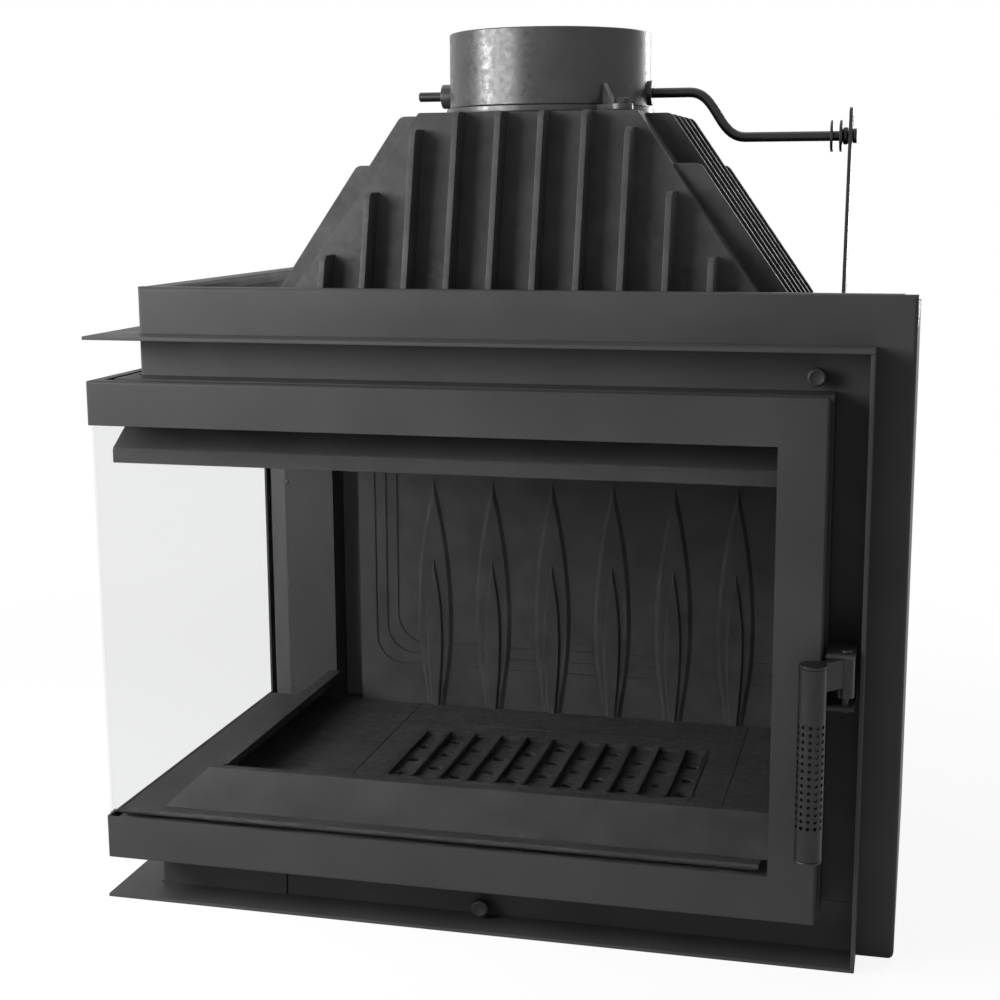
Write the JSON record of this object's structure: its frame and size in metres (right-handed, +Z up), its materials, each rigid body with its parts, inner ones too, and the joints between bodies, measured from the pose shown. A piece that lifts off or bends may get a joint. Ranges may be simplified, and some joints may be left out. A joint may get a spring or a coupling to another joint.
{
  "type": "fireplace insert",
  "caption": "Corner-glazed fireplace insert with a hinged L-shaped door, cast hearth, finned hood and flue collar with damper.",
  "frame": {"origin": "On the flue axis at the underside of the base pan, which stands on the floor or hearth slab.", "axes": "+Z up along the flue axis, +X to the right along the front, -Y out of the front, so the glazed corner is at -X, -Y."},
  "size_m": [0.774, 0.5032, 0.853],
  "materials": {
    "painted_steel": "matt heat-proof dark grey paint on folded sheet steel",
    "door_paint": "satin heat-proof dark grey paint, lighter where it catches the light",
    "cast_iron": "sand-cast iron with a matt black stove paint",
    "hearth_iron": "plain dark grey cast iron, dry and matt",
    "bare_steel": "dull dark rolled steel",
    "handle_steel": "dark satin metal, perforated",
    "fastener": "blackened steel",
    "knob_black": "smooth black turned knob",
    "rope": "dark knitted glass-fibre sealing rope",
    "glass": "clear glass-ceramic pane"
  },
  "bodies": {
    "casing": {"front_plate": "painted_steel", "left_wall": "painted_steel", "right_wall": "painted_steel", "rear_wall": "painted_steel", "base_pan": "painted_steel", "hearth_ceiling": "painted_steel", "flange_top": "painted_steel", "flange_bottom": "painted_steel", "flange_right": "painted_steel", "lower_front_panel": "painted_steel", "hearth_sheet": "painted_steel", "hearth_side_wall": "painted_steel", "floor_left": "hearth_iron", "floor_right": "hearth_iron", "floor_front": "hearth_iron", "floor_rear": "hearth_iron", "floor_centre": "hearth_iron", "ash_grate": "hearth_iron", "ash_pan": "bare_steel", "back_plate": "hearth_iron", "right_lining": "hearth_iron", "log_guard": "hearth_iron", "sill_plate": "painted_steel", "rear_left_post": "painted_steel", "smoke_deflector": "painted_steel", "baffle": "hearth_iron", "baffle_bar": "bare_steel", "air_duct": "bare_steel", "hood": "cast_iron", "collar_ring": "cast_iron", "flue_collar": "cast_iron", "collar_bolt_front": "fastener", "collar_bolt_rear": "fastener", "hinge_bracket_upper": "painted_steel", "hinge_bracket_lower": "painted_steel", "hinge_pin_upper": "fastener", "hinge_pin_lower": "fastener", "rod_guide": "painted_steel"},
    "door": {"door_frame": "door_paint", "door_cover": "door_paint", "front_glass": "glass", "side_glass": "glass", "rope_seal": "rope", "handle_bracket": "door_paint", "latch_pin": "fastener"},
    "handle": {"latch_arm": "painted_steel", "handle_tube": "handle_steel", "handle_bolt": "handle_steel"},
    "damper": {"damper_shaft": "bare_steel", "damper_disc": "cast_iron", "crank_washer_inner": "bare_steel", "crank_washer_outer": "bare_steel", "crank_nut": "fastener"},
    "damper_control": {"damper_strap": "bare_steel", "damper_push_rod": "bare_steel", "damper_knob": "knob_black"},
    "air_control": {"air_shutter": "bare_steel", "air_rod": "bare_steel", "air_knob": "knob_black"}
  },
  "joints": [
    {"name": "door_swing", "type": "hinge", "parent": "casing", "child": "door", "pos_m": [-0.388, 0.203, 0.289], "axis": [0, 0, -1], "range_deg": [0, 90]},
    {"name": "handle_turn", "type": "hinge", "parent": "door", "child": "handle", "pos_m": [0.3175, -0.24, 0.282], "axis": [0, 0, 1], "range_deg": [0, 12]},
    {"name": "damper_turn", "type": "hinge", "parent": "casing", "child": "damper", "pos_m": [0, 0, 0.795], "axis": [-1, 0, 0], "range_deg": [0, 50]},
    {"name": "damper_push", "type": "slide", "parent": "casing", "child": "damper_control", "axis": [0, -1, 0], "range_m": [0, 0.038]},
    {"name": "air_push", "type": "slide", "parent": "casing", "child": "air_control", "axis": [0, -1, 0], "range_m": [0, 0.04]}
  ],
  "couplings": [
    {"joint": "damper_push", "follows": "damper_turn", "m_per_rad": 0.0426}
  ]
}
